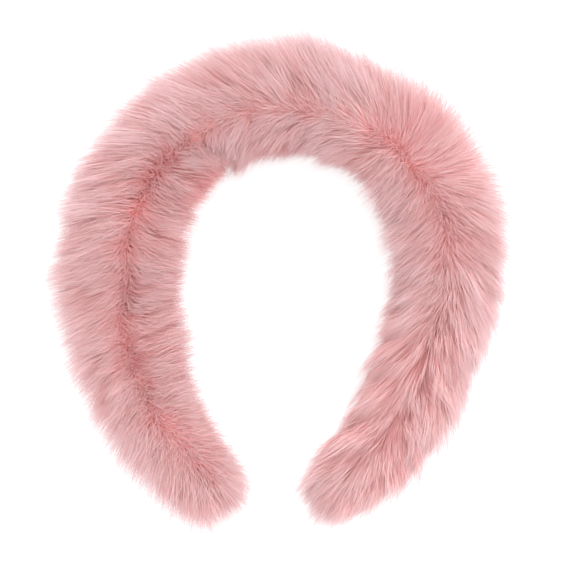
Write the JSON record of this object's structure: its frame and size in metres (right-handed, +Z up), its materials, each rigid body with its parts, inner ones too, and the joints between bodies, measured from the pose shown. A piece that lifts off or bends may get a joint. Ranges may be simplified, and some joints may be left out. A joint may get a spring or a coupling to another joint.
{
  "type": "faux fur headband",
  "caption": "Stiff horseshoe headband in deep plush faux fur, lying on its side, with a parting along its top, a swept nap and an open mouth.",
  "frame": {"origin": "under the middle of the headband's box, on the surface it lies on", "axes": "+Z up from the surface, through the headband's depth from front to back; +Y towards the crown, away from the mouth; +X towards the end on the right seen from above"},
  "size_m": [0.1788, 0.1957, 0.053],
  "materials": {
    "fur_pile": "deep soft plush pile in dusty pink, paler at the tips and deeper at the roots"
  },
  "bodies": {
    "root": {"fur_band": "fur_pile"}
  },
  "joints": []
}
